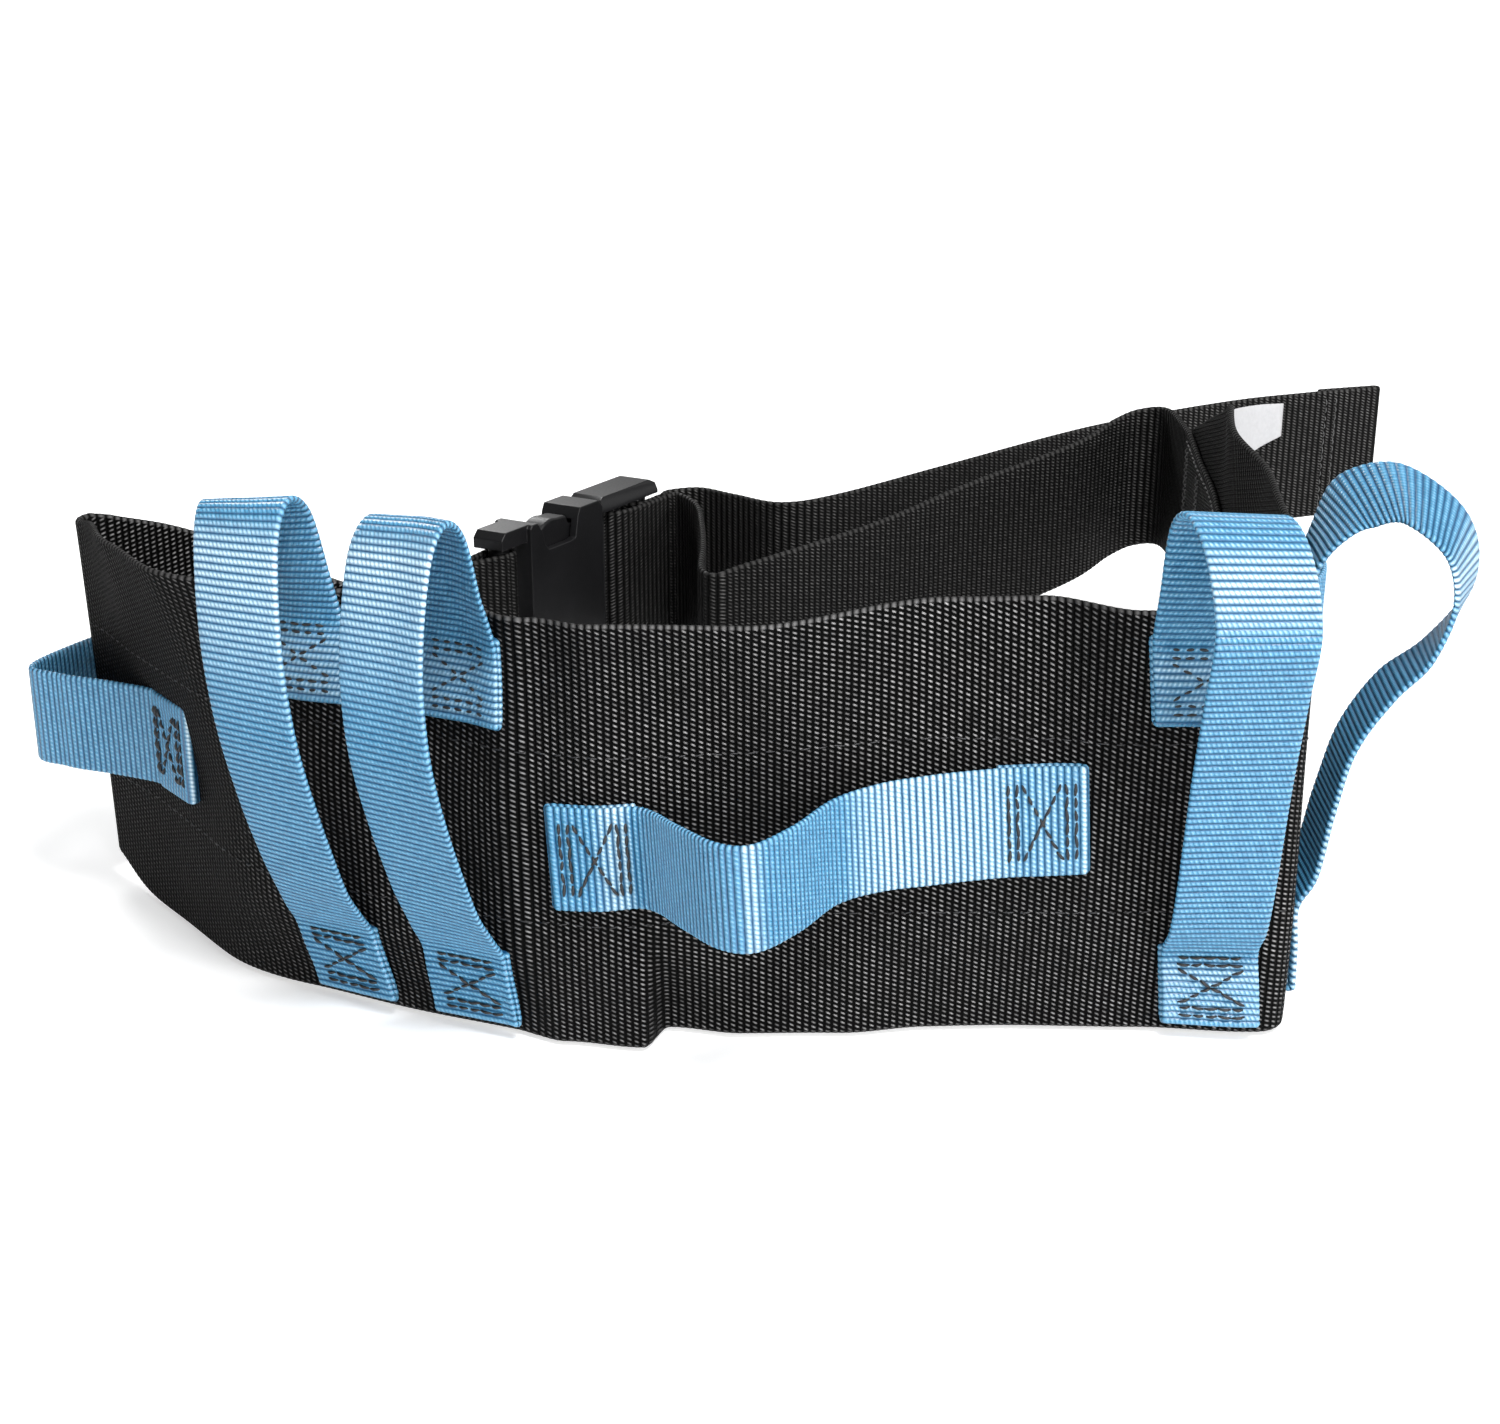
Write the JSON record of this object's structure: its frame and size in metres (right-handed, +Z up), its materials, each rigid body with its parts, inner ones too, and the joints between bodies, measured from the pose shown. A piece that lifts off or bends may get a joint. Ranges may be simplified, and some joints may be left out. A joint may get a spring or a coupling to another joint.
{
  "type": "gait transfer belt with grips",
  "caption": "Wide webbing gait belt with upright and level sewn grips, a squeeze-release side buckle and a free strap tail, lying buckled on its lower edge.",
  "frame": {"origin": "middle of the lower edge of the back panel, half way through the panel's thickness", "axes": "+X runs along the back panel towards the strap side, +Y from the back panel towards the buckle, +Z up, square to the edge the belt lies on"},
  "size_m": [0.4091, 0.3884, 0.1268],
  "materials": {
    "black_webbing": "ribbed weave, satin",
    "blue_webbing": "ribbed weave, glossy thread",
    "thread_black": "satin",
    "thread_grey": "satin",
    "label_white": "smooth, matte",
    "buckle_plastic": "moulded, low sheen"
  },
  "bodies": {
    "back": {"panel_back": "black_webbing", "belt_inner": "black_webbing", "buckle_web_loop": "black_webbing", "load_strap": "black_webbing", "grip_outer_buckle_side_ends": "blue_webbing", "grip_inner_buckle_side_ends": "blue_webbing", "grip_inner_strap_side_ends": "blue_webbing", "grip_middle_ends": "blue_webbing", "grip_buckle_end_ends": "blue_webbing", "grip_stitching_back": "thread_black", "edge_stitching_back": "thread_grey", "seam_stitching_buckle": "thread_grey"},
    "strap_wing": {"panel_strap_wing": "black_webbing", "belt_strap_wing": "black_webbing", "grip_outer_strap_side_ends": "blue_webbing", "grip_strap_end_ends": "blue_webbing", "grip_stitching_wing": "thread_black", "edge_stitching_wing": "thread_grey", "seam_stitching_strap": "thread_grey"},
    "label": {"care_label": "label_white"},
    "loop_outer_buckle_side": {"grip_outer_buckle_side": "blue_webbing"},
    "loop_inner_buckle_side": {"grip_inner_buckle_side": "blue_webbing"},
    "loop_inner_strap_side": {"grip_inner_strap_side": "blue_webbing"},
    "loop_outer_strap_side": {"grip_outer_strap_side": "blue_webbing"},
    "loop_middle": {"grip_middle": "blue_webbing"},
    "loop_buckle_end": {"grip_buckle_end": "blue_webbing"},
    "loop_strap_end": {"grip_strap_end": "blue_webbing"},
    "socket": {"buckle_socket": "buckle_plastic"},
    "plug": {"buckle_plug": "buckle_plastic", "plug_web_wrap": "black_webbing"},
    "latch_upper": {"latch_arm_upper": "buckle_plastic"},
    "latch_lower": {"latch_arm_lower": "buckle_plastic"},
    "tail": {"strap_tail": "black_webbing", "tail_stitching": "thread_grey"}
  },
  "joints": [
    {"name": "strap_wing_fold", "type": "hinge", "parent": "back", "child": "strap_wing", "pos_m": [0.10684, 0.00177, 0.051], "axis": [0, 0, 1], "range_deg": [-10, 6], "deforming": ["load_strap"]},
    {"name": "label_flap", "type": "hinge", "parent": "strap_wing", "child": "label", "pos_m": [0.12048, 0.17404, 0.09956], "axis": [0, 0, 1], "range_deg": [-20, 3]},
    {"name": "outer_buckle_side_grip_swing", "type": "hinge", "parent": "back", "child": "loop_outer_buckle_side", "pos_m": [-0.10884, 0.01802, 0.066], "axis": [0, 0, 1], "range_deg": [-20, 7]},
    {"name": "inner_buckle_side_grip_swing", "type": "hinge", "parent": "back", "child": "loop_inner_buckle_side", "pos_m": [-0.07798, 0.00376, 0.066], "axis": [0, 0, 1], "range_deg": [-7, 20]},
    {"name": "inner_strap_side_grip_swing", "type": "hinge", "parent": "back", "child": "loop_inner_strap_side", "pos_m": [0.0905, -0.00095, 0.066], "axis": [0, 0, 1], "range_deg": [-20, 20]},
    {"name": "outer_strap_side_grip_swing", "type": "hinge", "parent": "strap_wing", "child": "loop_outer_strap_side", "pos_m": [0.11169, 0.03665, 0.06883], "axis": [0, 0, 1], "range_deg": [-12, 12]},
    {"name": "middle_grip_swing", "type": "hinge", "parent": "back", "child": "loop_middle", "pos_m": [0, -0.00095, 0.051], "axis": [0.9986, 0, 0.0523], "range_deg": [-20, 20]},
    {"name": "buckle_end_grip_swing", "type": "hinge", "parent": "back", "child": "loop_buckle_end", "pos_m": [-0.16263, 0.11306, 0.051], "axis": [-0.1984, -0.9801, 0], "range_deg": [-12, 12]},
    {"name": "strap_end_grip_swing", "type": "hinge", "parent": "strap_wing", "child": "loop_strap_end", "pos_m": [0.12126, 0.09276, 0.06288], "axis": [0.0517, 0.9987, 0], "range_deg": [-12, 12]},
    {"name": "socket_swivel", "type": "hinge", "parent": "back", "child": "socket", "pos_m": [-0.08683, 0.15586, 0.051], "axis": [0, 0, 1], "range_deg": [-3, 12], "deforming": ["load_strap"]},
    {"name": "plug_release", "type": "slide", "parent": "socket", "child": "plug", "axis": [0.5, 0.866, 0], "range_m": [0, 0.045], "deforming": ["load_strap", "latch_arm_upper", "latch_arm_lower"]},
    {"name": "upper_latch_squeeze", "type": "hinge", "parent": "plug", "child": "latch_upper", "pos_m": [-0.06513, 0.19344, 0.073], "axis": [0.866, -0.5, 0], "range_deg": [0, 10]},
    {"name": "lower_latch_squeeze", "type": "hinge", "parent": "plug", "child": "latch_lower", "pos_m": [-0.06513, 0.19344, 0.029], "axis": [-0.866, 0.5, 0], "range_deg": [0, 10]},
    {"name": "tail_swing", "type": "hinge", "parent": "plug", "child": "tail", "pos_m": [-0.04307, 0.22366, 0.051], "axis": [0, 0, 1], "range_deg": [0, 35]}
  ],
  "couplings": [
    {"joint": "lower_latch_squeeze", "follows": "upper_latch_squeeze", "ratio": 1}
  ]
}
